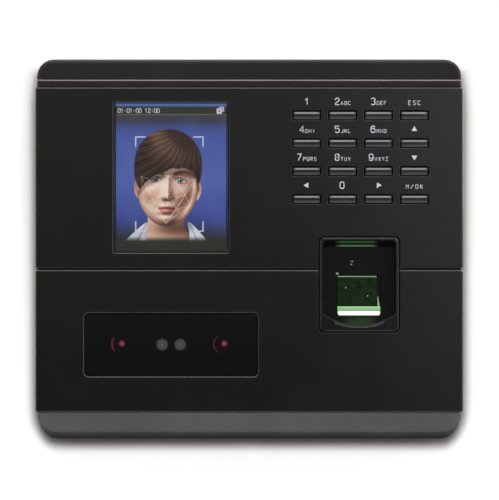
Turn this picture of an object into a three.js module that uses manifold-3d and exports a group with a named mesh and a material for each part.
// Fingerprint scanner terminal: a keypad, a colour display, two face cameras and an optical finger sensor
// in a moulded case that hangs on a steel wall plate. Millimetres.
// Every piece is laid out in a front view frame: x to the right, y up from the lowest edge of the case,
// z out from the wall towards the user. The last group turns that frame so that z is up and the front
// faces -y, with the origin on the wall, at the middle of the wall plate.

import * as THREE from "three";
import { mergeVertices } from "three/addons/utils/BufferGeometryUtils.js";
import Module from "manifold-3d";

const wasm = await Module();
wasm.setup();

// Whole case. Its depth follows from what lies inside, further down.
const bodyWidth = 167.5; // across the front panels
const bodyHeight = 148.8;
const gap = 0.3; // between pieces that touch
const overrun = 3; // how far a cutter runs past the face that it cuts
const overlap = 0.6; // how far a rib or boss runs into the wall that carries it
const weld = 1e-4; // vertices closer than this are one
const roundSides = 18;
const fineSides = 10;
const lipSides = 72;
const cornerSteps = 3;
const caseSteps = 5; // round the corners of the case

// Moulded shells
const shellWall = 2.2;
const panelOverhang = 0.65; // the panels stand out past the sides of the shells
const topCornerRadius = 6.5;
const lowCornerAcross = 7.7; // the lower corners are elliptical
const partingDepth = 17.7; // rim of the rear housing
const edgeRound = 1.6; // rounded front edge of the shells
const capHeight = 7.7;
const capStep = 0.4; // the cap and the chin lie this far behind the panels
const chinHeight = 10.4;
const chinSlopeDepth = 3;
const chinUnderHeight = 2.8;
const chinUnderDepth = 5;
const chinUnderBend = 1.2; // power of the underside's curve
const trimThickness = 0.45;
const ledgeHeight = 1.9; // strip of the front housing that shows above the upper panel

// Front panels
const panelThickness = 2;
const panelEdge = 0.7; // rounded edge of the panels
const panelCorner = 0.9;
const bezelProud = 0.6;
const faceWall = 2; // front wall of the housing, behind the panels
const seamShare = 0.8862; // the seam between the panels, up the height that is below the picture
const seamGap = 0.5;
const openingFlare = 0.35; // chamfer round the openings of the panels

// Display
const displayShare = -0.1827; // middle of the display, as a share of the width
const displayDrop = 6.45; // from the panel's upper edge down to the picture
const screenWidth = 43.6;
const screenHeight = 57.6;
const screenLedge = 0.75; // the lens is bonded to this ledge of the housing
const screenCorner = 0.5;
const lensSink = 0.25; // the lens lies this far below the panel
const lensEdge = 0.2;
const moduleSide = 3.2; // frame of the module beside the picture
const moduleEnd = 5.8; // and above and below it
const moduleThickness = 2.6;
const moduleCorner = 1;
const ribThickness = 1.2;

// Keys
const keyColumns = 4;
const keyRows = 4;
const keypadInset = 13.76; // from the side of the case to the outer keys
const keypadDrop = 9.39; // from the panel's upper edge down to the upper keys
const keySpaceX = 3.46; // between neighbours
const keySpaceY = 7.74;
const keyWidth = 10.6;
const keyHeight = 3.2;
const keyGap = 0.45; // round a key, in both walls
const keyCorner = 0.45;
const keyProud = 0.55;
const keySlopeShare = 0.33; // each sloped band along a long edge, as a share of the key's height
const keySlopeEnd = 0.5;
const keySlopeDepth = 0.75;
const keyFlange = 0.9; // the flange is this much wider than the key, all round
const keyFlangeThickness = 1;
const keyTravel = 1.2;
const domeRadius = 0.95;
const domeHeight = 1.6;
const domeClearance = 0.35; // round the dome, inside the key
const matThickness = 1;
const matMargin = 1.4; // the mat runs this far past the outer keys
const boardThickness = 1.6;
const keyBoardMargin = 3.9; // and its board this far past the mat, above and below
const smallPostRadius = 1.5;

// Finger sensor
const bezelShift = 0.5; // the bezel's middle lies this far to the left of the keypad's
const bezelDrop = 13.44; // from the lower keys down to the bezel
const bezelWidth = 31;
const bezelHeight = 36.8;
const bezelCorner = 1.5;
const bezelEdge = 0.5;
const bezelSide = 1; // rim beside the bay
const bezelBrow = 1; // bar above the bay
const bezelBar = 5.9; // bar below the bay
const bayCorner = 1.6;
const bayDraft = 0.6; // each side wall leans in by this much
const bayRoofDraft = 2.6;
const bayFloorWall = 2;
const bayDepth = 11.2;
const lipRadius = 26; // curved dip in the lower bar, for the finger
const lipDip = 3.4;
const lipFlare = 1.1; // chamfer along the middle of the dip
const lipFlareWidth = 18.8;
const bezelFlange = 2;
const bezelFlangeThickness = 1;
const prismWidth = 16.6;
const prismFaceHeight = 11.5;
const prismBevelHeight = 2;
const prismBevelDepth = 0.8;
const prismLean = 2.4; // the lower edge of the glass stands this much further out
const prismProud = 0.6; // the upper edge stands this far in front of the bay's floor
const prismSeatDepth = 5;
const lightBarHeight = 2.1;
const lightBarRise = 3.3; // the light bar starts this far above the bottom of the dip
const sensorMargin = 4; // module round the glass
const sensorLength = 12.2;
const sensorCorner = 1.2;
const sensorRib = 1.2;

// Face cameras
const windowMiddleShare = 0.4719; // middle of the window, up the lower panel
const windowWidth = 68.1;
const windowHeightShare = 0.4425; // height of the window, as a share of the lower panel's
const windowCorner = 1.8;
const windowSink = 0.3;
const cameraShift = 0.3; // the cameras' middle lies this far to the left of the window's
const cameraSpacing = 40.6;
const cameraBarrel = 3.6;
const cameraBarrelLength = 3.7;
const cameraBase = 8.6;
const cameraBaseDepth = 4.3;
const cameraRecess = 0.7;
const lampSpacing = 7.1;
const lampRadius = 2.15;
const lampFlange = 0.45;
const lampFlangeThickness = 1;
const holeClearance = 0.35;
const cameraBoardEnd = 4.4; // the board runs this far past the cameras' bases
const cameraBoardHeight = 18;
const postInset = 2.6; // middle of a fixing post from the edge of its board
const boardCorner = 1;

// Wall plate
const plateWidth = 128;
const plateRim = 2.6; // the plate's lower edge lies this far below the connector bay
const plateThickness = 1.2;
const plateCorner = 5;
const rimLift = 0.3; // the case rim clears the wall by this much
const recessGap = 0.6;
const wallHoleRadius = 2.4;
const wallHoleInset = 7;
const hookSpacing = 84;
const hookClearance = 6.4; // from the network jack up to the lower hooks
const hookDrop = 11; // from the plate's upper edge down to the upper hooks
const hookWidth = 8;
const hookLip = 4;
const hookReach = 3.2; // clear length of the hook's neck
const armWidth = 16; // arm down to the locking screw
const tabReach = 12;
const tabHoleDepth = 7.5; // from the wall to the screw

// Rear housing and its connector bay
const backInset = 3.4; // the back edge is drawn in by this much
const backRound = 4.2;
const backWall = 2.2;
const socketBayHeight = 31;
const socketBayWall = 1.6;
const socketBayGap = 0.4; // between the bay's wall and the finger bezel
const socketMargin = 1.5; // the bay runs this far past the outer sockets
const socketSpace = 2.4; // between neighbours
const portClearance = 3.8; // between the bay's lower wall and the data socket's board
const cutoutMargin = 2; // the plate's cable cut-out stays this far inside the bay
const boardClearance = 1.6; // from the camera board back to the connector bay
const postRadius = 3;
const lipThickness = 1; // the rear rim carries a lip that stands inside the front shells
const lipRise = 1.8;
const lipRoot = 3;

// Case screws and locking screw
const screwInset = 6.1; // from the side of the shells
const screwRise = 18; // lower screws, from the lowest edge
const screwDrop = 15.2; // upper screws, from the top
const screwShank = 1.3;
const screwHead = 2.8;
const screwHeadHeight = 2;
const screwSeat = 10; // from the wall to the seat of the head
const screwPost = 4.3;
const screwClearance = 0.4;
const screwBite = 6; // shank inside the front boss
const bossRadius = 3.5;
const driveRadius = 1.1; // hexagon socket in the screw heads
const driveSides = 6;
const driveDepth = 1;
const lockShank = 1.5;
const lockHead = 2.8;
const lockHeadHeight = 1.7;
const lockSeat = 3.6; // height of the seat inside the lower wall
const lockBossRadius = 5;
const lockWall = 1.2;

// Main board and what it carries
const mainInset = 4.7; // from the posts of the case screws
const mainBezelGap = 1.2;
const mainDrop = 12.8; // from the top of the case
const mainCorner = 2;
const chipHeight = 1;
const chipSize = 14;
const memoryWidth = 9;
const memoryHeight = 12;
const relayWidth = 15;
const relayHeight = 19;
const relayDepth = 9;
const capacitorRadius = 3.2;
const capacitorDepth = 8;
const jackMouthWidth = 11.8;
const jackMouthDepth = 6.8;
const jackMouthLength = 14;
const jackSide = 2.1;
const jackEnd = 5;
const jackFloor = 1.4;
const jackRoof = 1.8;
const jackClearance = 0.6; // from the jack back to the rear wall
const latchWidth = 6;
const latchDepth = 1.6;
const powerWidth = 9;
const powerDepth = 11;
const powerLength = 14;
const powerBore = 3.1;
const powerBoreLength = 10;
const powerPin = 1;
const powerPinShort = 1.5;
const blockDepth = 8.4;
const blockLength = 10;
const blockWays = 5;
const blockPitch = 3.81;
const blockEnd = 0.675; // beyond the outer ways
const blockSocket = 2.6;
const blockSocketLength = 7;
const cellInset = 20; // from the board's left edge to the middle of the clock cell
const cellDrop = 21; // from the board's upper edge
const cellRadius = 10;
const cellThickness = 3.2;
const holderWall = 1.2;
const holderFloor = 1;
const holderLip = 2.4;

// Small board with the data socket, at the lower edge
const portInset = 43.1; // from the side of the shells
const portBoardWidth = 28;
const portBoardHeight = 17;
const portBoardRise = 4.6;
const portDepth = 12; // from the wall to the board
const usbWidth = 13.2;
const usbDepth = 5.7;
const usbLength = 14;
const usbShell = 0.4;
const usbMouthLength = 9;
const usbTongue = 1.8;
const usbTongueGap = 0.7;
const usbSink = 0.6; // the socket's mouth lies this far inside the case

// Loudspeaker
const speakerMargin = 1.2; // from the plate's arm, and from the lower wall
const speakerRadius = 8;
const speakerRim = 1.5;
const speakerSurround = 0.9;
const speakerStep = 3.8; // the magnet is this much smaller in radius
const speakerConeDepth = 2.2;
const speakerDepth = 3.2;
const speakerMagnetDepth = 2.4;
const speakerRing = 1.4;
const slotCount = 4;
const slotWidth = 1.6;
const slotPitch = 3;
const slotMargin = 2.5; // the slots end this far inside the loudspeaker's edge

// Tamper switch
const tamperInset = 16; // from the main board's right edge
const tamperDrop = 38; // from its upper edge
const tamperBody = 7;
const tamperBodyDepth = 5;
const tamperBore = 3.4;
const plungerRadius = 1.8;
const plungerCollar = 3;
const plungerCollarThickness = 1.2;
const plungerReach = 1.5; // how far the free plunger stands out past the wall plate
const plungerTravel = 1.8;
const plungerClearance = 0.35;
const plungerTip = 0.5;

// Depths from the wall, worked out from the back to the front
const recessDepth = plateThickness + gap;
const backInner = recessDepth + backWall;
const jackDepth = jackFloor + jackMouthDepth + latchDepth + jackRoof;
const mountPlane = backInner + jackClearance + jackDepth; // parts on the main board sit against it
const mainBack = mountPlane + gap;
const mainFront = mainBack + boardThickness;
const socketBayDeep = mainFront - socketBayWall;
const cameraBoardBack = mainFront + boardClearance;
const cameraBoardFront = cameraBoardBack + boardThickness;
const boardPlane = cameraBoardFront + gap;
const faceFront = boardPlane + cameraBaseDepth + cameraBarrelLength;
const faceBack = faceFront - faceWall;
const panelBack = faceFront + gap;
const panelFront = panelBack + panelThickness;
const bodyDepth = panelFront + bezelProud; // from the wall to the rim of the finger bezel
const capFront = panelFront - capStep;
const creaseDepth = capFront - chinSlopeDepth;
const underStart = creaseDepth - chinUnderDepth;
const shellNear = partingDepth + gap;
const keyFlangeFront = faceBack - gap;
const keyFlangeBack = keyFlangeFront - keyFlangeThickness;
const matFront = keyFlangeBack - keyTravel - gap;
const matBack = matFront - matThickness;
const keyBoardFront = matBack - gap;
const moduleFront = faceBack - gap;
const moduleBack = moduleFront - moduleThickness;
const bayFloor = bodyDepth - bayDepth;
const bezelBack = bayFloor - bayFloorWall;
const prismBackDepth = bezelBack - prismSeatDepth;
const prismTopDepth = bayFloor + prismProud;
const prismFootDepth = prismTopDepth + prismLean;
const lightBarDepth = prismFootDepth - prismBevelDepth;

// Shells, from the top and the lowest edge
const shellHalf = bodyWidth / 2 - panelOverhang;
const innerHalf = shellHalf - shellWall;
const capBottom = bodyHeight - capHeight;
const trimHigh = capBottom - gap;
const trimLow = trimHigh - trimThickness;
const housingHigh = trimLow - gap;
const housingLow = chinHeight + gap;
const panelHigh = housingHigh - ledgeHeight - gap;
const panelLow = housingLow - gap / 2;
const screwX = shellHalf - screwInset;
const screwHigh = bodyHeight - screwDrop;

// Display and keys hang from the panel's upper edge
const displayX = displayShare * bodyWidth;
const displayY = panelHigh - displayDrop - screenHeight / 2;
const moduleWidth = screenWidth + 2 * moduleSide;
const moduleHeight = screenHeight + 2 * moduleEnd;
const seamHeight = panelLow + seamShare * (displayY - screenHeight / 2 - panelLow);
const keyPitchX = keyWidth + keySpaceX;
const keyPitchY = keyHeight + keySpaceY;
const keySlopeHeight = keySlopeShare * keyHeight;
const keypadWidth = (keyColumns - 1) * keyPitchX + keyWidth;
const keypadHeight = (keyRows - 1) * keyPitchY + keyHeight;
const keypadX = bodyWidth / 2 - keypadInset - keypadWidth / 2;
const keypadY = panelHigh - keypadDrop - keypadHeight / 2;
const keyBoardHeight = keypadHeight + 2 * (matMargin + keyBoardMargin);
const keyBoardWidth = keypadWidth + 2 * matMargin;
const keyPostInset = keyBoardMargin / 2;

// Finger sensor, under the keys
const bezelX = keypadX - bezelShift;
const bezelY = keypadY - (keypadHeight + bezelHeight) / 2 - bezelDrop;
const bezelLeft = bezelX - bezelWidth / 2;
const bayWidth = bezelWidth - 2 * bezelSide;
const bayTop = bezelY + bezelHeight / 2 - bezelBrow;
const bayBottom = bezelY - bezelHeight / 2 + bezelBar;
const lightBarLow = bayBottom - lipDip + lightBarRise;
const lightBarTop = lightBarLow + lightBarHeight;
const prismBottom = lightBarTop + gap;
const prismKnee = prismBottom + prismBevelHeight;
const prismTop = prismKnee + prismFaceHeight;

// Camera window, in the lower panel
const windowX = displayX;
const windowY = panelLow + windowMiddleShare * (seamHeight - panelLow);
const windowHeight = windowHeightShare * (seamHeight - panelLow);
const cameraX = windowX - cameraShift;
const cameraBoardWidth = cameraSpacing + cameraBase + 2 * cameraBoardEnd;

// Connector bay, from the bezel to the left, with a row of sockets along its upper wall
const jackWidth = jackMouthWidth + 2 * jackSide;
const jackLength = jackMouthLength + jackEnd;
const blockWidth = blockWays * blockPitch + 2 * blockEnd;
const socketRow = jackWidth + powerWidth + 2 * blockWidth + 3 * socketSpace;
const socketBayRight = bezelLeft - socketBayGap - socketBayWall;
const socketBayLeft = socketBayRight - socketRow - 2 * socketMargin;
const socketBayLow = portBoardRise + portBoardHeight + portClearance + socketBayWall;
const socketBayHigh = socketBayLow + socketBayHeight;
const jackX = socketBayLeft + socketMargin + jackWidth / 2;
const powerX = jackX + (jackWidth + powerWidth) / 2 + socketSpace;
const doorX = powerX + (powerWidth + blockWidth) / 2 + socketSpace;
const busX = doorX + blockWidth + socketSpace;

// Wall plate, as far from the top of the case as from its lowest edge
const plateLow = socketBayLow - plateRim;
const plateMiddle = bodyHeight / 2;
const plateHeight = bodyHeight - 2 * plateLow;
const hookLow = socketBayHigh + jackLength + hookClearance;
const hookHigh = bodyHeight - plateLow - hookDrop;

// Main board, above the connector bay
const mainLeft = screwPost + mainInset - screwX;
const mainRight = bezelLeft - mainBezelGap;
const mainLow = socketBayHigh + socketBayWall + gap;
const mainHigh = bodyHeight - mainDrop;
const cellX = mainLeft + cellInset;
const cellY = mainHigh - cellDrop;
const tamperX = mainRight - tamperInset;
const tamperY = mainHigh - tamperDrop;

// Along the lower wall
const portX = portInset - shellHalf;
const speakerSeat = speakerRadius + gap; // inside of the ring that holds the loudspeaker
const speakerX = armWidth / 2 + recessGap + speakerMargin + speakerRing + speakerSeat;
const speakerY = shellWall + speakerMargin + speakerRing + speakerSeat;

// Turns a closed geometry into a solid that can be joined and cut.
function solid(geometry) {
  geometry.deleteAttribute("normal");
  geometry.deleteAttribute("uv");
  const merged = mergeVertices(geometry, weld);
  return new wasm.Manifold(
    new wasm.Mesh({
      numProp: 3,
      vertProperties: new Float32Array(merged.attributes.position.array),
      triVerts: new Uint32Array(merged.index.array),
    }),
  );
}

// Turns a solid back into a flat-shaded geometry.
function surface(body) {
  const { numProp, vertProperties, triVerts } = body.getMesh();
  const geometry = new THREE.BufferGeometry();
  geometry.setAttribute("position", new THREE.BufferAttribute(vertProperties, numProp));
  geometry.setIndex(new THREE.BufferAttribute(triVerts, 1));
  const flat = geometry.toNonIndexed();
  flat.computeVertexNormals();
  return flat;
}

function finish(color, roughness, metalness) {
  return new THREE.MeshStandardMaterial({ color, roughness, metalness });
}

const finishes = {
  case: finish(0x1b1b1b, 0.45, 0),
  panel: finish(0x151515, 0.2, 0),
  chin: finish(0x545253, 0.5, 0.2),
  trim: finish(0x96878f, 0.35, 0.6),
  bezel: finish(0x101010, 0.25, 0),
  glass: finish(0x1c3a1c, 0.05, 0),
  light: finish(0xe9f6e4, 0.4, 0),
  screen: finish(0x2b3a90, 0.15, 0),
  smoked: finish(0x141414, 0.08, 0),
  lens: finish(0x30101c, 0.1, 0),
  lamp: finish(0x6b6d66, 0.3, 0),
  key: finish(0x39393c, 0.4, 0),
  rubber: finish(0x3a3c40, 0.8, 0),
  board: finish(0x1d5a34, 0.6, 0),
  steel: finish(0xb4b6b8, 0.35, 0.9),
  connector: finish(0x26282a, 0.6, 0),
  terminal: finish(0x2d6b3c, 0.6, 0),
};

function piece(name, body, material) {
  const mesh = new THREE.Mesh(surface(body), material);
  mesh.name = name;
  return mesh;
}

function placed(mesh, x, y) {
  mesh.position.set(x, y, 0);
  return mesh;
}

// A rounded rectangle round a middle point, counter-clockwise.
function rounded(x, y, width, height, radius) {
  const shape = new THREE.Shape();
  const right = x + width / 2 - radius;
  const left = x - width / 2 + radius;
  const high = y + height / 2 - radius;
  const low = y - height / 2 + radius;
  shape.absarc(right, low, radius, -Math.PI / 2, 0);
  shape.absarc(right, high, radius, 0, Math.PI / 2);
  shape.absarc(left, high, radius, Math.PI / 2, Math.PI);
  shape.absarc(left, low, radius, Math.PI, 1.5 * Math.PI);
  return shape;
}

function slab(shape, near, far, curveSegments = cornerSteps) {
  const depth = far - near;
  const geometry = new THREE.ExtrudeGeometry(shape, { depth, bevelEnabled: false, curveSegments });
  return solid(geometry.translate(0, 0, near));
}

function block(x, y, width, height, near, far) {
  const geometry = new THREE.BoxGeometry(width, height, far - near);
  return solid(geometry.translate(x, y, (near + far) / 2));
}

// A box between two corners in the front view.
function span(left, right, low, high, near, far) {
  return block((left + right) / 2, (low + high) / 2, right - left, high - low, near, far);
}

// A round bar along the depth, and one that stands upright.
function rod(x, y, radius, near, far, sides = fineSides) {
  const geometry = new THREE.CylinderGeometry(radius, radius, far - near, sides);
  return solid(geometry.rotateX(Math.PI / 2).translate(x, y, (near + far) / 2));
}

function upright(x, depth, radius, low, high, sides = fineSides) {
  const geometry = new THREE.CylinderGeometry(radius, radius, high - low, sides);
  return solid(geometry.translate(x, (low + high) / 2, depth));
}

// A turned piece: its profile is a list of radius and depth, from the wall side to the front.
function turned(profile, sides = roundSides) {
  const points = profile.map(([radius, depth]) => new THREE.Vector2(radius, depth));
  return solid(new THREE.LatheGeometry(points, sides).rotateX(Math.PI / 2));
}

// A straight piece along x: its outline is a list of height and depth.
function drawn(outline, left, right) {
  const shape = new THREE.Shape(outline.map(([height, depth]) => new THREE.Vector2(depth, height)));
  const geometry = new THREE.ExtrudeGeometry(shape, { depth: right - left, bevelEnabled: false });
  return solid(geometry.rotateY(-Math.PI / 2).translate(right, 0, 0));
}

// Closes a row of rings with the same number of points into one skin, from the wall side to the front.
function loft(rings) {
  const count = rings[0].length;
  const positions = rings.flat().flatMap((point) => point.toArray());
  const index = [];
  for (let ring = 0; ring < rings.length - 1; ring++) {
    for (let i = 0; i < count; i++) {
      const a = ring * count + i;
      const b = ring * count + ((i + 1) % count);
      index.push(a, b, b + count, a, b + count, a + count);
    }
  }
  const lastRing = (rings.length - 1) * count;
  const flat = rings[0].map((point) => new THREE.Vector2(point.x, point.y));
  const flatLast = rings.at(-1).map((point) => new THREE.Vector2(point.x, point.y));
  for (const [a, b, c] of THREE.ShapeUtils.triangulateShape(flat, [])) index.push(c, b, a);
  for (const [a, b, c] of THREE.ShapeUtils.triangulateShape(flatLast, [])) {
    index.push(lastRing + a, lastRing + b, lastRing + c);
  }
  const geometry = new THREE.BufferGeometry();
  geometry.setAttribute("position", new THREE.Float32BufferAttribute(positions, 3));
  geometry.setIndex(index);
  return solid(geometry);
}

// One ring of a rounded rectangle at a depth.
function ring(x, y, width, height, radius, depth, steps = cornerSteps) {
  const corners = [[1, -1], [1, 1], [-1, 1], [-1, -1]];
  return corners.flatMap(([across, up], corner) =>
    Array.from({ length: steps + 1 }, (_, step) => {
      const angle = ((corner - 1) * Math.PI) / 2 + (step / steps) * (Math.PI / 2);
      return new THREE.Vector3(
        x + across * (width / 2 - radius) + radius * Math.cos(angle),
        y + up * (height / 2 - radius) + radius * Math.sin(angle),
        depth,
      );
    }),
  );
}

// One ring of the case outline: round corners above, elliptical ones below that start at the chin line.
function caseRing(inset, low, depth) {
  const half = shellHalf - inset;
  const high = bodyHeight - inset;
  const topRadius = topCornerRadius - inset;
  const across = lowCornerAcross - inset;
  const up = chinHeight - low;
  const corners = [
    [half - across, chinHeight, across, up, -1],
    [half - topRadius, high - topRadius, topRadius, topRadius, 0],
    [topRadius - half, high - topRadius, topRadius, topRadius, 1],
    [across - half, chinHeight, across, up, 2],
  ];
  return corners.flatMap(([x, y, radiusX, radiusY, quarter]) =>
    Array.from({ length: caseSteps + 1 }, (_, step) => {
      const angle = ((quarter + step / caseSteps) * Math.PI) / 2;
      return new THREE.Vector3(x + radiusX * Math.cos(angle), y + radiusY * Math.sin(angle), depth);
    }),
  );
}

// Height of the underside at a depth: flat, then rising to the crease, then the sloped chin.
function undersideAt(depth) {
  if (depth <= underStart) return 0;
  if (depth < creaseDepth) {
    const share = (depth - underStart) / chinUnderDepth;
    return chinUnderHeight * share ** chinUnderBend;
  }
  const share = (depth - creaseDepth) / chinSlopeDepth;
  return chinUnderHeight + (chinHeight - chinUnderHeight) * share;
}

// How far the sides are drawn in at a depth by the rounded front edge.
function insetAt(depth) {
  const into = Math.max(0, depth - (capFront - edgeRound));
  return edgeRound - Math.sqrt(Math.max(0, edgeRound * edgeRound - into * into));
}

// The front shells are all cut from one outer form, so that they line up.
function frontForm() {
  const underShares = [0.15, 0.4, 0.7];
  const edgeShares = [0.5, 0.85, 1];
  const depths = [
    shellNear,
    underStart,
    ...underShares.map((share) => underStart + share * chinUnderDepth),
    creaseDepth,
    capFront - edgeRound,
    ...edgeShares.map((share) => capFront - edgeRound * (1 - share)),
  ].sort((a, b) => a - b);
  return loft(depths.map((depth) => caseRing(insetAt(depth), undersideAt(depth), depth)));
}

// A cutter over the whole width, between two heights, from a depth to beyond the front.
function band(low, high, near = -overrun) {
  return block(0, (low + high) / 2, bodyWidth + overrun, high - low, near, bodyDepth + overrun);
}

const form = frontForm();
const aboveAll = bodyHeight + overrun;

function topCap() {
  const outer = form.intersect(band(capBottom, aboveAll));
  const low = capBottom - topCornerRadius;
  const high = bodyHeight - shellWall;
  const radius = topCornerRadius - shellWall;
  const hollow = rounded(0, (low + high) / 2, innerHalf * 2, high - low, radius);
  return outer.subtract(slab(hollow, shellNear - overrun, capFront - shellWall));
}

function topTrim() {
  const outer = form.intersect(band(trimLow, trimHigh));
  return outer.subtract(
    block(0, trimLow, innerHalf * 2, overrun, shellNear - overrun, capFront - shellWall),
  );
}

function chinTrim() {
  const outer = form.intersect(band(-overrun, chinHeight));
  const rings = [shellNear - overrun, underStart, creaseDepth - shellWall].map((depth) =>
    caseRing(shellWall, shellWall + undersideAt(depth), depth),
  );
  return outer.subtract(loft(rings));
}

// Tongues that reach from the front housing into the cap and the chin and hold them.
const tongueWidth = 14;
const tongueThickness = 1.6;
const tongueReach = 4;
const tongueShares = [-0.6, 0, 0.6];

function tongues() {
  return tongueShares.flatMap((share) => {
    const x = share * innerHalf;
    const capSide = capFront - shellWall - gap;
    const chinSide = creaseDepth - shellWall - gap;
    const high = housingHigh + tongueReach;
    const low = housingLow - tongueReach;
    return [
      span(
        x - tongueWidth / 2, x + tongueWidth / 2, housingHigh - shellWall, high,
        capSide - tongueThickness, capSide,
      ),
      span(
        x - tongueWidth / 2, x + tongueWidth / 2, low, housingLow + shellWall,
        chinSide - tongueThickness, chinSide,
      ),
    ];
  });
}

function keyPlaces() {
  const places = [];
  for (let row = 0; row < keyRows; row++) {
    for (let column = 0; column < keyColumns; column++) {
      places.push([
        keypadX + (column - (keyColumns - 1) / 2) * keyPitchX,
        keypadY + ((keyRows - 1) / 2 - row) * keyPitchY,
      ]);
    }
  }
  return places;
}

const cameraPlaces = [-1, 1].map((side) => cameraX + (side * cameraSpacing) / 2);
const lampPlaces = [-1, 1].map((side) => windowX + (side * lampSpacing) / 2);

function cornersOf(x, y, width, height, inset) {
  return [-1, 1].flatMap((across) =>
    [-1, 1].map((up) => [x + across * (width / 2 - inset), y + up * (height / 2 - inset)]),
  );
}

const screwPlaces = [-1, 1].flatMap((side) => [
  [side * screwX, screwRise],
  [side * screwX, screwHigh],
]);

function frontHousing() {
  const hollowHeight = housingHigh - housingLow - 2 * shellWall;
  const middle = (housingHigh + housingLow) / 2;
  const hollow = rounded(0, middle, innerHalf * 2, hollowHeight, shellWall);
  let body = form
    .intersect(band(housingLow, housingHigh))
    .subtract(band(-overrun, panelHigh + gap, faceFront))
    .subtract(slab(hollow, shellNear - overrun, faceBack));
  const ribGrow = 2 * (gap + ribThickness);
  const frame = block(
    displayX, displayY, moduleWidth + ribGrow, moduleHeight + ribGrow, moduleBack, faceBack + overlap,
  ).subtract(
    block(
      displayX, displayY, moduleWidth + 2 * gap, moduleHeight + 2 * gap,
      moduleBack - overrun, faceBack,
    ),
  );
  const inside = band(housingLow + shellWall - overlap, housingHigh - shellWall + overlap);
  body = body.add(frame.intersect(inside));
  const keyPosts = cornersOf(keypadX, keypadY, keypadWidth / 2, keyBoardHeight, keyPostInset);
  for (const [x, y] of keyPosts) {
    body = body.add(rod(x, y, smallPostRadius, keyBoardFront + gap, faceBack + overlap));
  }
  const cameraPosts = cornersOf(cameraX, windowY, cameraBoardWidth, cameraBoardHeight, postInset);
  for (const [x, y] of cameraPosts) {
    body = body.add(rod(x, y, smallPostRadius, cameraBoardFront + gap, faceBack + overlap));
  }
  for (const [x, y] of screwPlaces) {
    const drill = rod(x, y, screwShank + gap, shellNear - overrun, shellNear + screwBite + gap);
    body = body.add(rod(x, y, bossRadius, shellNear, faceBack + overlap)).subtract(drill);
  }
  for (const tongue of tongues()) body = body.add(tongue);
  body = body.subtract(
    slab(
      rounded(displayX, displayY, screenWidth, screenHeight, screenCorner),
      faceBack - overrun / 2, bodyDepth,
    ),
  );
  for (const [x, y] of keyPlaces()) {
    body = body.subtract(
      block(
        x, y, keyWidth + 2 * keyGap, keyHeight + 2 * keyGap, faceBack - gap, faceFront + overrun,
      ),
    );
  }
  body = body.subtract(
    slab(
      rounded(bezelX, bezelY, bezelWidth + 2 * gap, bezelHeight + 2 * gap, bezelCorner + gap),
      shellNear - overrun, bodyDepth,
    ),
  );
  for (const x of cameraPlaces) {
    const hole = rod(
      x, windowY, cameraBarrel + holeClearance, faceBack - gap, faceFront + overrun, roundSides,
    );
    body = body.subtract(hole);
  }
  for (const x of lampPlaces) {
    const hole = rod(x, windowY, lampRadius + holeClearance, faceBack - gap, faceFront + overrun);
    body = body.subtract(hole);
  }
  return body;
}

// A front panel between two heights, with rounded edges.
function panelBlank(low, high) {
  const edgeShares = [0, 0.5, 0.87, 1];
  const depths = [panelBack, ...edgeShares.map((share) => panelFront - panelEdge * (1 - share))];
  return loft(
    depths.map((depth) => {
      const into = Math.max(0, depth - (panelFront - panelEdge));
      const inset = panelEdge - Math.sqrt(Math.max(0, panelEdge * panelEdge - into * into));
      return ring(
        0, (low + high) / 2, bodyWidth - 2 * inset, high - low - 2 * inset, panelCorner, depth,
      );
    }),
  );
}

// An opening that widens by a small chamfer at the panel's face.
function flaredOpening(x, y, width, height, radius, steps = cornerSteps) {
  const chamferStart = panelFront - openingFlare;
  const farGrow = 2 * (openingFlare + overrun);
  return loft([
    ring(x, y, width, height, radius, panelBack - overrun, steps),
    ring(x, y, width, height, radius, chamferStart, steps),
    ring(x, y, width + farGrow, height + farGrow, radius + overrun, panelFront + overrun, steps),
  ]);
}

function bezelNotch() {
  return flaredOpening(
    bezelX, bezelY, bezelWidth + 2 * gap, bezelHeight + 2 * gap, bezelCorner + gap,
  );
}

function upperPanel() {
  let body = panelBlank(seamHeight + seamGap / 2, panelHigh);
  const frame = 2 * screenLedge;
  body = body.subtract(
    flaredOpening(displayX, displayY, screenWidth + frame, screenHeight + frame, screenCorner, 2),
  );
  for (const [x, y] of keyPlaces()) {
    body = body.subtract(
      slab(
        rounded(x, y, keyWidth + 2 * keyGap, keyHeight + 2 * keyGap, keyCorner + keyGap),
        panelBack - overrun, panelFront + overrun, 2,
      ),
    );
  }
  return body.subtract(bezelNotch());
}

function lowerPanel() {
  const body = panelBlank(panelLow, seamHeight - seamGap / 2);
  return body
    .subtract(flaredOpening(windowX, windowY, windowWidth, windowHeight, windowCorner))
    .subtract(bezelNotch());
}

function displayLens() {
  const width = screenWidth + 2 * (screenLedge - gap);
  const height = screenHeight + 2 * (screenLedge - gap);
  const front = panelFront - lensSink;
  return loft([
    ring(displayX, displayY, width, height, screenCorner, panelBack, 1),
    ring(displayX, displayY, width, height, screenCorner, front - lensEdge, 1),
    ring(
      displayX, displayY, width - 2 * lensEdge, height - 2 * lensEdge, screenCorner, front, 1,
    ),
  ]);
}

function displayModule() {
  const frame = slab(
    rounded(displayX, displayY, moduleWidth, moduleHeight, moduleCorner),
    moduleBack, moduleFront, 2,
  );
  const screen = block(
    displayX, displayY, screenWidth - 2 * gap, screenHeight - 2 * gap,
    moduleFront - overlap, faceFront,
  );
  return frame.add(screen);
}

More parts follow.
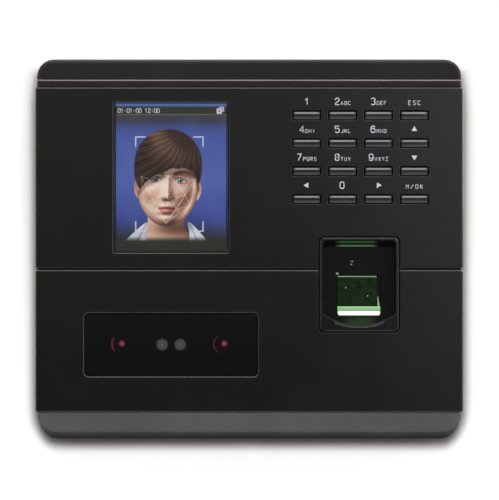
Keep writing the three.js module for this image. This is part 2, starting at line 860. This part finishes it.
// One key round its own middle: a retaining flange, a stem through both walls and a cap with
// sloped bands above and below. A round pocket behind it clears the rubber dome over the whole travel.
function keyBody() {
  const front = panelFront + keyProud;
  const flangeWidth = keyWidth + 2 * keyFlange;
  const flangeHeight = keyHeight + 2 * keyFlange;
  const flange = block(0, 0, flangeWidth, flangeHeight, keyFlangeBack, keyFlangeFront);
  const cap = loft([
    ring(0, 0, keyWidth, keyHeight, keyCorner, keyFlangeBack, 1),
    ring(0, 0, keyWidth, keyHeight, keyCorner, front - keySlopeDepth, 1),
    ring(
      0, 0, keyWidth - 2 * keySlopeEnd, keyHeight - 2 * keySlopeHeight, keyCorner, front, 1,
    ),
  ]);
  const pocket = rod(
    0, 0, domeRadius + domeClearance,
    keyFlangeBack - overrun, matFront + domeHeight + keyTravel + gap,
  );
  return flange.add(cap).subtract(pocket);
}

function keyMat() {
  const outline = rounded(
    keypadX, keypadY, keypadWidth + 2 * matMargin, keypadHeight + 2 * matMargin, matMargin,
  );
  let body = slab(outline, matBack, matFront, 2);
  for (const [x, y] of keyPlaces()) {
    body = body.add(rod(x, y, domeRadius, matFront - matThickness / 2, matFront + domeHeight));
  }
  return body;
}

function keyBoard() {
  const outline = rounded(keypadX, keypadY, keyBoardWidth, keyBoardHeight, boardCorner);
  return slab(outline, keyBoardFront - boardThickness, keyBoardFront, 2);
}

// The finger bezel: a drafted bay behind a raised rim, with a roof that slopes to the glass, a curved
// dip for the finger in its lower bar, and a flange that is caught behind the front wall.
function fingerBezel() {
  const edgeShares = [0, 0.6, 1];
  const outerDepths = [
    bezelBack, ...edgeShares.map((share) => bodyDepth - bezelEdge * (1 - share)),
  ];
  const outer = loft(
    outerDepths.map((depth) => {
      const into = Math.max(0, depth - (bodyDepth - bezelEdge));
      const inset = bezelEdge - Math.sqrt(Math.max(0, bezelEdge * bezelEdge - into * into));
      return ring(
        bezelX, bezelY, bezelWidth - 2 * inset, bezelHeight - 2 * inset, bezelCorner, depth,
      );
    }),
  );
  const flange = slab(
    rounded(
      bezelX, bezelY, bezelWidth + 2 * bezelFlange, bezelHeight + 2 * bezelFlange,
      bezelCorner + bezelFlange,
    ),
    keyFlangeFront - bezelFlangeThickness, keyFlangeFront, 2,
  );
  const slopeShare = (bayDepth + overrun) / bayDepth;
  const bayAt = (share, depth) => {
    const high = bayTop - bayRoofDraft * (1 - share);
    const width = bayWidth - 2 * bayDraft * (1 - share);
    return ring(bezelX, (high + bayBottom) / 2, width, high - bayBottom, bayCorner, depth);
  };
  const bay = loft([bayAt(0, bayFloor), bayAt(slopeShare, bodyDepth + overrun)]);
  const lipY = bayBottom - lipDip + lipRadius;
  const dipAcross = (half) => span(
    bezelX - half, bezelX + half, bezelY - bezelHeight / 2, bayBottom + bayCorner,
    bayFloor, bodyDepth + overrun,
  );
  const dip = turned([
    [0, bayFloor], [lipRadius, bayFloor], [lipRadius, bodyDepth + overrun],
    [0, bodyDepth + overrun],
  ], lipSides).translate(bezelX, lipY, 0).intersect(dipAcross(bayWidth / 2 - bayDraft));
  const flare = turned([
    [0, bodyDepth - lipFlare], [lipRadius, bodyDepth - lipFlare],
    [lipRadius + lipFlare + overrun, bodyDepth + overrun], [0, bodyDepth + overrun],
  ], lipSides).translate(bezelX, lipY, 0).intersect(dipAcross(lipFlareWidth / 2));
  const lip = dip.add(flare);
  const window = span(
    bezelX - prismWidth / 2 - gap, bezelX + prismWidth / 2 + gap, lightBarLow - gap, prismTop + gap,
    bezelBack - overrun, bayFloor + overrun,
  );
  return outer.add(flange).subtract(bay).subtract(lip).subtract(window);
}

// The glass block of the sensor: a leaning face, a bevelled foot and a square back in the module.
function sensorPrism() {
  return drawn(
    [
      [prismTop, prismBackDepth],
      [prismTop, prismTopDepth],
      [prismKnee, prismFootDepth],
      [prismBottom, prismFootDepth - prismBevelDepth],
      [prismBottom, prismBackDepth],
    ],
    bezelX - prismWidth / 2, bezelX + prismWidth / 2,
  );
}

function sensorLightBar() {
  const bevel = lightBarHeight / 3;
  return drawn(
    [
      [lightBarTop, prismBackDepth],
      [lightBarTop, lightBarDepth],
      [lightBarLow + bevel, lightBarDepth],
      [lightBarLow, lightBarDepth - bevel],
      [lightBarLow, prismBackDepth],
    ],
    bezelX - prismWidth / 2, bezelX + prismWidth / 2,
  );
}

function sensorModule() {
  const low = lightBarLow - sensorMargin;
  const high = prismTop + sensorMargin;
  const width = prismWidth + 2 * sensorMargin;
  const near = bezelBack - gap - sensorLength;
  const far = bezelBack - gap;
  const middle = (low + high) / 2;
  let body = slab(rounded(bezelX, middle, width, high - low, sensorCorner), near, far, 2);
  for (const share of [-0.5, 0, 0.5]) {
    const x = bezelX + share * width;
    body = body.add(
      span(
        x - sensorRib / 2, x + sensorRib / 2, low - sensorRib, high + sensorRib,
        near + sensorCorner, far - sensorCorner,
      ),
    );
  }
  const pocket = span(
    bezelX - prismWidth / 2 - gap, bezelX + prismWidth / 2 + gap, lightBarLow - gap, prismTop + gap,
    prismBackDepth - gap, far + overrun,
  );
  return body.subtract(pocket);
}

function cameraWindow() {
  const width = windowWidth - 2 * gap;
  const height = windowHeight - 2 * gap;
  const radius = windowCorner - gap;
  const front = panelFront - windowSink;
  const edge = 2 * lensEdge;
  return loft([
    ring(windowX, windowY, width, height, radius, panelBack),
    ring(windowX, windowY, width, height, radius, front - lensEdge),
    ring(windowX, windowY, width - edge, height - edge, radius, front),
  ]);
}

// One camera round its own middle: a square base and a turned barrel with a domed lens in its mouth.
function cameraModule() {
  const near = boardPlane;
  const shoulder = near + cameraBaseDepth;
  const front = shoulder + cameraBarrelLength;
  const barrel = turned([
    [0, near],
    [cameraBarrel, near],
    [cameraBarrel, front - cameraRecess / 2],
    [cameraBarrel - cameraRecess / 2, front],
    [cameraBarrel - cameraRecess, front],
    [cameraBarrel - 2 * cameraRecess, front - cameraRecess],
    [(cameraBarrel - 2 * cameraRecess) / 2, front - cameraRecess / 2],
    [0, front - cameraRecess / 3],
  ]);
  return barrel.add(slab(rounded(0, 0, cameraBase, cameraBase, boardCorner), near, shoulder, 2));
}

// One lamp round its own middle: a round body with a foot flange and a low dome.
function lamp() {
  const near = boardPlane;
  const front = boardPlane + cameraBaseDepth + cameraBarrelLength;
  const dome = lampRadius / 2;
  return turned([
    [0, near],
    [lampRadius + lampFlange, near],
    [lampRadius + lampFlange, near + lampFlangeThickness],
    [lampRadius, near + lampFlangeThickness],
    [lampRadius, front - dome],
    [lampRadius * Math.cos(Math.PI / 4), front - dome * (1 - Math.sin(Math.PI / 4))],
    [0, front],
  ], fineSides);
}

function cameraBoard() {
  const outline = rounded(cameraX, windowY, cameraBoardWidth, cameraBoardHeight, boardCorner);
  return slab(outline, cameraBoardBack, cameraBoardFront, 2);
}

const hookPlaces = [-1, 1].flatMap((side) =>
  [hookLow, hookHigh].map((y) => [(side * hookSpacing) / 2, y]),
);
const hookNeck = recessDepth + hookReach;
const lockTabLow = lockSeat + lockWall + gap;

// The steel wall plate: four lanced hooks, a cable cut-out, wall screw holes, a hole for the tamper
// plunger and an arm that ends in a bent tab for the locking screw.
function wallPlate() {
  let body = slab(rounded(0, plateMiddle, plateWidth, plateHeight, plateCorner), 0, plateThickness);
  body = body.add(
    span(-armWidth / 2, armWidth / 2, lockTabLow, plateLow + plateCorner, 0, plateThickness),
  );
  body = body.add(
    span(-armWidth / 2, armWidth / 2, lockTabLow, lockTabLow + plateThickness, 0, tabReach),
  );
  for (const [x, y] of hookPlaces) {
    const left = x - hookWidth / 2;
    const right = x + hookWidth / 2;
    const neck = hookNeck + plateThickness;
    body = body
      .add(span(left, right, y - plateThickness, y, 0, neck))
      .add(span(left, right, y - plateThickness, y + hookLip, hookNeck, neck));
  }
  const cutLeft = socketBayLeft + cutoutMargin;
  const cutRight = socketBayRight - cutoutMargin;
  const cutMiddle = (socketBayLow + socketBayHigh) / 2;
  const cutHeight = socketBayHeight - 2 * cutoutMargin;
  const cutout = rounded((cutLeft + cutRight) / 2, cutMiddle, cutRight - cutLeft, cutHeight, plateCorner);
  body = body.subtract(slab(cutout, -overrun, plateThickness + overrun));
  for (const [x, y] of cornersOf(0, plateMiddle, plateWidth, plateHeight, wallHoleInset)) {
    body = body.subtract(rod(x, y, wallHoleRadius, -overrun, plateThickness + overrun));
  }
  const plungerHole = plungerCollar + plungerClearance;
  body = body.subtract(rod(tamperX, tamperY, plungerHole, -overrun, plateThickness + overrun));
  const tabTop = lockTabLow + plateThickness;
  return body.subtract(
    upright(0, tabHoleDepth, lockShank + screwClearance, lockTabLow - gap, tabTop + gap),
  );
}

// How far the rear housing's outline is drawn in at a depth.
function backInsetAt(depth) {
  const share = Math.min(1, Math.max(0, (depth - rimLift) / backRound));
  return backInset * (1 - Math.sqrt(1 - (1 - share) * (1 - share)));
}

function rearRing(inset, depth) {
  return caseRing(inset, inset, depth);
}

function rearHousing() {
  const roundShares = [0, 0.15, 0.4, 0.7, 1];
  const outerDepths = [...roundShares.map((share) => rimLift + share * backRound), partingDepth];
  const outer = loft(outerDepths.map((depth) => rearRing(backInsetAt(depth), depth)));
  const hollow = loft([
    rearRing(shellWall + backInsetAt(backInner), backInner),
    rearRing(shellWall, backInner + backRound),
    rearRing(shellWall, partingDepth + overrun),
  ]);
  let body = outer.subtract(hollow).add(rimLip());
  const bayMiddleX = (socketBayLeft + socketBayRight) / 2;
  const bayMiddleY = (socketBayLow + socketBayHigh) / 2;
  const grow = 2 * socketBayWall;
  const bayBox = block(
    bayMiddleX, bayMiddleY, socketBayRight - socketBayLeft + grow, socketBayHeight + grow,
    backInner - overlap, mainFront,
  );
  body = body.add(bayBox);
  const postEdge = postRadius + boardCorner;
  for (const x of [mainLeft + postEdge, mainRight - postEdge]) {
    for (const y of [mainLow + jackLength + postEdge, mainHigh - postEdge]) {
      body = body.add(rod(x, y, postRadius, backInner - overlap, mountPlane));
    }
  }
  const portPosts = [-1, 1].map((side) => portX + side * (portBoardWidth / 2 - postInset));
  for (const x of portPosts) {
    const y = portBoardRise + portBoardHeight - postInset;
    body = body.add(rod(x, y, smallPostRadius, backInner - overlap, portDepth - gap));
  }
  for (const [x, y] of screwPlaces) {
    body = body.add(rod(x, y, screwPost, backInner - overlap, partingDepth, roundSides));
  }
  const ringFar = backInner + speakerDepth;
  body = body.add(
    rod(speakerX, speakerY, speakerSeat + speakerRing, backInner - overlap, ringFar, roundSides),
  );
  body = body.subtract(
    rod(speakerX, speakerY, speakerSeat, backInner, ringFar + overrun, roundSides),
  );
  body = body.add(
    upright(0, tabHoleDepth, lockBossRadius, shellWall - overlap, lockSeat + lockWall),
  );
  const pocket = block(
    bayMiddleX, bayMiddleY, socketBayRight - socketBayLeft, socketBayHeight, -overrun, socketBayDeep,
  );
  body = body.subtract(pocket).subtract(plateRecess());
  for (const [x, y] of hookPlaces) {
    body = body.subtract(
      span(
        x - hookWidth / 2 - recessGap, x + hookWidth / 2 + recessGap,
        y - plateThickness - gap, y + hookLip + recessGap, -overrun, backInner + overlap,
      ),
    );
  }
  for (const [x, y] of screwPlaces) {
    body = body
      .subtract(rod(x, y, screwHead + screwClearance, -overrun, screwSeat, roundSides))
      .subtract(rod(x, y, screwShank + screwClearance, 0, partingDepth + overrun));
  }
  const slotLength = 2 * (speakerRadius - slotMargin);
  for (let slot = 0; slot < slotCount; slot++) {
    const y = speakerY + (slot - (slotCount - 1) / 2) * slotPitch;
    body = body.subtract(
      block(speakerX, y, slotLength, slotWidth, -overrun, backInner + overlap / 2),
    );
  }
  const guide = plungerRadius + plungerClearance;
  body = body.subtract(rod(tamperX, tamperY, guide, -overrun, backInner + overrun));
  body = body
    .subtract(upright(0, tabHoleDepth, lockHead + screwClearance, -overrun, lockSeat, roundSides))
    .subtract(upright(0, tabHoleDepth, lockShank + screwClearance, 0, lockTabLow));
  for (const cut of socketCuts()) body = body.subtract(cut);
  return body;
}

// A lip inside the parting line, which closes the gap between the shells. It is notched round the front
// housing's end walls and screw bosses.
function rimLip() {
  const fused = shellWall - overlap;
  const free = shellWall + gap;
  const top = partingDepth + lipRise;
  const outer = loft([
    rearRing(fused, partingDepth - lipRoot),
    rearRing(fused, partingDepth),
    rearRing(free, partingDepth),
    rearRing(free, top),
  ]);
  const innerRings = [partingDepth - lipRoot - overrun, top + overrun].map((depth) =>
    rearRing(free + lipThickness, depth),
  );
  let lip = outer
    .subtract(loft(innerRings))
    .subtract(band(housingLow - gap, housingLow + 2 * shellWall + gap, partingDepth))
    .subtract(band(housingHigh - 2 * shellWall - gap, capBottom + gap, partingDepth));
  for (const [x, y] of screwPlaces) {
    lip = lip.subtract(rod(x, y, bossRadius + gap, partingDepth, top + overrun, roundSides));
  }
  return lip;
}

// The recess in the rear housing that takes the wall plate, its arm and its bent tab.
function plateRecess() {
  const main = slab(
    rounded(
      0, plateMiddle, plateWidth + 2 * recessGap, plateHeight + 2 * recessGap, plateCorner + recessGap,
    ),
    -overrun, recessDepth,
  );
  const half = armWidth / 2 + recessGap;
  const arm = span(-half, half, lockTabLow - gap, plateLow + plateCorner, -overrun, recessDepth);
  const tab = span(
    -half, half, lockTabLow - gap, lockTabLow + plateThickness + gap, -overrun, tabReach + gap,
  );
  return main.add(arm).add(tab);
}

const blockPlaces = [doorX, busX];

// Cut-outs round the sockets: through the bay's upper wall, and through the lower wall of the case.
function socketCuts() {
  const top = socketBayHigh + socketBayWall + overlap;
  const low = socketBayHigh - overlap;
  const around = (x, width, depth) =>
    span(
      x - width / 2 - gap, x + width / 2 + gap, low, top, mountPlane - depth - gap, mountPlane + gap,
    );
  return [
    around(jackX, jackWidth, jackDepth),
    around(powerX, powerWidth, powerDepth),
    ...blockPlaces.map((x) => around(x, blockWidth, blockDepth)),
    span(
      portX - usbWidth / 2 - gap, portX + usbWidth / 2 + gap, -overrun, portBoardRise,
      portDepth - gap - usbDepth - gap, portDepth,
    ),
  ];
}

function mainBoard() {
  const middleX = (mainLeft + mainRight) / 2;
  const middleY = (mainLow + mainHigh) / 2;
  const width = mainRight - mainLeft;
  const height = mainHigh - mainLow;
  const sheet = slab(rounded(middleX, middleY, width, height, mainCorner), mainBack, mainFront, 2);
  const sink = boardThickness / 2;
  const chips = [
    block(middleX, middleY, chipSize, chipSize, mainFront - sink, mainFront + chipHeight),
    block(
      middleX + 1.5 * chipSize, middleY, memoryWidth, memoryHeight, mainFront - sink,
      mainFront + chipHeight,
    ),
  ];
  const relay = block(
    middleX + chipSize, mainHigh - relayHeight, relayWidth, relayHeight,
    mainBack - relayDepth, mainBack + sink,
  );
  const capacitors = [-1, 0, 1].map((step) =>
    rod(
      middleX + step * 3 * capacitorRadius, middleY - 2 * capacitorRadius, capacitorRadius,
      mainBack - capacitorDepth, mainBack + sink,
    ),
  );
  return [...chips, relay, ...capacitors].reduce((body, part) => body.add(part), sheet);
}

// The network jack round its own middle line, with its mouth facing down into the bay.
function networkJack() {
  const near = mountPlane - jackDepth;
  const top = socketBayHigh + jackLength;
  const body = span(-jackWidth / 2, jackWidth / 2, socketBayHigh, top, near, mountPlane);
  const mouthFar = mountPlane - jackFloor;
  const mouthTop = socketBayHigh + jackMouthLength;
  const mouth = span(
    -jackMouthWidth / 2, jackMouthWidth / 2, socketBayHigh - overrun, mouthTop,
    mouthFar - jackMouthDepth, mouthFar,
  );
  const latch = span(
    -latchWidth / 2, latchWidth / 2, socketBayHigh - overrun, mouthTop,
    mouthFar - jackMouthDepth - latchDepth, mouthFar,
  );
  return body.subtract(mouth).subtract(latch);
}

function powerJack() {
  const near = mountPlane - powerDepth;
  const middle = mountPlane - powerDepth / 2;
  const body = span(
    -powerWidth / 2, powerWidth / 2, socketBayHigh, socketBayHigh + powerLength, near, mountPlane,
  );
  const bore = upright(0, middle, powerBore, socketBayHigh - overrun, socketBayHigh + powerBoreLength);
  const pin = upright(
    0, middle, powerPin, socketBayHigh + powerPinShort, socketBayHigh + powerBoreLength + overlap,
  );
  return body.subtract(bore).add(pin);
}

// A terminal socket round its own middle line: a row of square ways that face down.
function terminalBlock() {
  const near = mountPlane - blockDepth;
  let body = span(
    -blockWidth / 2, blockWidth / 2, socketBayHigh, socketBayHigh + blockLength, near, mountPlane,
  );
  for (let way = 0; way < blockWays; way++) {
    const x = (way - (blockWays - 1) / 2) * blockPitch;
    const middle = mountPlane - blockDepth / 2;
    body = body.subtract(
      span(
        x - blockSocket / 2, x + blockSocket / 2,
        socketBayHigh - overrun, socketBayHigh + blockSocketLength,
        middle - blockSocket / 2, middle + blockSocket / 2,
      ),
    );
  }
  return body;
}

function usbSocket() {
  const far = portDepth - gap;
  const near = far - usbDepth;
  const low = usbSink;
  const body = span(-usbWidth / 2, usbWidth / 2, low, low + usbLength, near, far);
  const mouth = span(
    usbShell - usbWidth / 2, usbWidth / 2 - usbShell, low - overrun, low + usbMouthLength,
    near + usbShell, far - usbShell,
  );
  const tongueHalf = usbWidth / 2 - usbShell - usbTongueGap;
  const tongue = span(
    -tongueHalf, tongueHalf, low + usbTongue, low + usbMouthLength + overlap,
    far - usbShell - usbTongue, far - 2 * usbShell,
  );
  return body.subtract(mouth).add(tongue);
}

function portBoard() {
  const middle = portBoardRise + portBoardHeight / 2;
  const outline = rounded(portX, middle, portBoardWidth, portBoardHeight, boardCorner);
  return slab(outline, portDepth, portDepth + boardThickness, 2);
}

// The clock battery lies in a cup on the main board, open towards the wall.
function cellHolder() {
  const outer = cellRadius + gap + holderWall;
  const near = mountPlane - holderFloor - holderLip;
  const cup = rod(0, 0, outer, near, mountPlane, roundSides);
  return cup.subtract(
    rod(0, 0, cellRadius + gap, near - overrun, mountPlane - holderFloor, roundSides),
  );
}

function clockCell() {
  const far = mountPlane - holderFloor - gap;
  const step = holderWall / 2;
  return turned([
    [0, far - cellThickness],
    [cellRadius - 2 * step, far - cellThickness],
    [cellRadius, far - cellThickness + step],
    [cellRadius, far],
    [0, far],
  ]);
}

// The loudspeaker round its own middle: a rim towards the grille, a cone and a magnet in front.
function loudspeaker() {
  const near = backInner + gap;
  const rimFar = near + speakerDepth;
  const magnet = speakerRadius - speakerStep;
  const cone = speakerRadius - speakerRim - speakerSurround;
  return turned([
    [0, near + speakerConeDepth],
    [magnet / 2, near + speakerConeDepth],
    [cone, near + speakerRim / 2],
    [speakerRadius - speakerRim, near + speakerRim / 2],
    [speakerRadius - speakerRim, near],
    [speakerRadius, near],
    [speakerRadius, near + speakerRim],
    [magnet + speakerRim, rimFar],
    [magnet, rimFar],
    [magnet, rimFar + speakerMagnetDepth],
    [0, rimFar + speakerMagnetDepth],
  ]);
}

function tamperSwitch() {
  const near = mountPlane - tamperBodyDepth;
  const body = slab(rounded(0, 0, tamperBody, tamperBody, boardCorner), near, mountPlane, 2);
  return body.subtract(rod(0, 0, plungerRadius + plungerClearance, near - overrun, near + tamperBore));
}

function tamperPlunger() {
  const collarNear = backInner + gap;
  const switchNear = mountPlane - tamperBodyDepth;
  const end = switchNear + tamperBore - plungerTravel - gap;
  return turned([
    [0, -plungerReach],
    [plungerRadius - plungerTip, -plungerReach],
    [plungerRadius, plungerTip - plungerReach],
    [plungerRadius, collarNear],
    [plungerCollar, collarNear],
    [plungerCollar, collarNear + plungerCollarThickness],
    [plungerRadius, collarNear + plungerCollarThickness],
    [plungerRadius, end],
    [0, end],
  ]);
}

// A case screw round its own line: the head lies in the rear post, the shank ends in the front boss.
function caseScrew() {
  const headFar = screwSeat - gap;
  const headNear = headFar - screwHeadHeight;
  const body = turned([
    [0, headNear],
    [screwHead - driveDepth / 2, headNear],
    [screwHead, headNear + driveDepth / 2],
    [screwHead, headFar],
    [screwShank, headFar],
    [screwShank, shellNear + screwBite],
    [0, shellNear + screwBite],
  ], fineSides);
  return body.subtract(rod(0, 0, driveRadius, headNear - overrun, headNear + driveDepth, driveSides));
}

function lockingScrew() {
  const headTop = lockSeat - gap;
  const headLow = headTop - lockHeadHeight;
  const top = lockTabLow + plateThickness + lockShank;
  return upright(0, tabHoleDepth, lockHead, headLow, headTop)
    .add(upright(0, tabHoleDepth, lockShank, headTop - gap, top))
    .subtract(upright(0, tabHoleDepth, driveRadius, headLow - overrun, headLow + driveDepth, driveSides));
}

const keyNames = [
  ["key_1", "key_2", "key_3", "key_escape"],
  ["key_4", "key_5", "key_6", "key_up"],
  ["key_7", "key_8", "key_9", "key_down"],
  ["key_left", "key_0", "key_right", "key_ok"],
].flat();

function keypadGroup() {
  const group = new THREE.Group();
  const shared = keyBody();
  keyPlaces().forEach(([x, y], index) => {
    group.add(placed(piece(keyNames[index], shared, finishes.key), x, y));
  });
  group.add(piece("keypad_mat", keyMat(), finishes.rubber));
  group.add(piece("keypad_board", keyBoard(), finishes.board));
  return group;
}

function sensorGroup() {
  const group = new THREE.Group();
  group.add(piece("finger_bezel", fingerBezel(), finishes.bezel));
  group.add(piece("sensor_prism", sensorPrism(), finishes.glass));
  group.add(piece("sensor_light_bar", sensorLightBar(), finishes.light));
  group.add(piece("sensor_module", sensorModule(), finishes.connector));
  return group;
}

function cameraGroup() {
  const group = new THREE.Group();
  group.add(piece("camera_window", cameraWindow(), finishes.smoked));
  const camera = cameraModule();
  const light = lamp();
  ["left", "right"].forEach((side, index) => {
    group.add(placed(piece("camera_" + side, camera, finishes.lens), cameraPlaces[index], windowY));
    group.add(placed(piece("lamp_" + side, light, finishes.lamp), lampPlaces[index], windowY));
  });
  group.add(piece("camera_board", cameraBoard(), finishes.board));
  return group;
}

function frontGroup() {
  const group = new THREE.Group();
  group.add(piece("front_housing", frontHousing(), finishes.case));
  group.add(piece("top_cap", topCap(), finishes.case));
  group.add(piece("top_trim", topTrim(), finishes.trim));
  group.add(piece("chin_trim", chinTrim(), finishes.chin));
  group.add(piece("upper_panel", upperPanel(), finishes.panel));
  group.add(piece("lower_panel", lowerPanel(), finishes.panel));
  group.add(piece("display_lens", displayLens(), finishes.smoked));
  group.add(piece("display_module", displayModule(), finishes.screen));
  return group;
}

function boardGroup() {
  const group = new THREE.Group();
  group.add(piece("main_board", mainBoard(), finishes.board));
  group.add(placed(piece("network_jack", networkJack(), finishes.steel), jackX, 0));
  group.add(placed(piece("power_jack", powerJack(), finishes.connector), powerX, 0));
  ["door", "bus"].forEach((use, index) => {
    const block = piece(use + "_terminal", terminalBlock(), finishes.terminal);
    group.add(placed(block, blockPlaces[index], 0));
  });
  group.add(placed(piece("cell_holder", cellHolder(), finishes.connector), cellX, cellY));
  group.add(placed(piece("clock_cell", clockCell(), finishes.steel), cellX, cellY));
  group.add(placed(piece("tamper_switch", tamperSwitch(), finishes.connector), tamperX, tamperY));
  group.add(placed(piece("tamper_plunger", tamperPlunger(), finishes.connector), tamperX, tamperY));
  group.add(piece("port_board", portBoard(), finishes.board));
  group.add(placed(piece("usb_socket", usbSocket(), finishes.steel), portX, 0));
  return group;
}

function rearGroup() {
  const group = new THREE.Group();
  group.add(piece("rear_housing", rearHousing(), finishes.case));
  group.add(piece("wall_plate", wallPlate(), finishes.steel));
  group.add(piece("locking_screw", lockingScrew(), finishes.steel));
  group.add(placed(piece("loudspeaker", loudspeaker(), finishes.connector), speakerX, speakerY));
  const screw = caseScrew();
  screwPlaces.forEach(([x, y], index) => {
    group.add(placed(piece("case_screw_" + (index + 1), screw, finishes.steel), x, y));
  });
  return group;
}

const frontView = new THREE.Group();
frontView.add(frontGroup(), keypadGroup(), sensorGroup(), cameraGroup(), boardGroup(), rearGroup());
frontView.rotation.x = Math.PI / 2;
frontView.position.z = -plateMiddle;

const terminal = new THREE.Group();
terminal.name = "fingerprint_terminal";
terminal.add(frontView);

export default terminal;
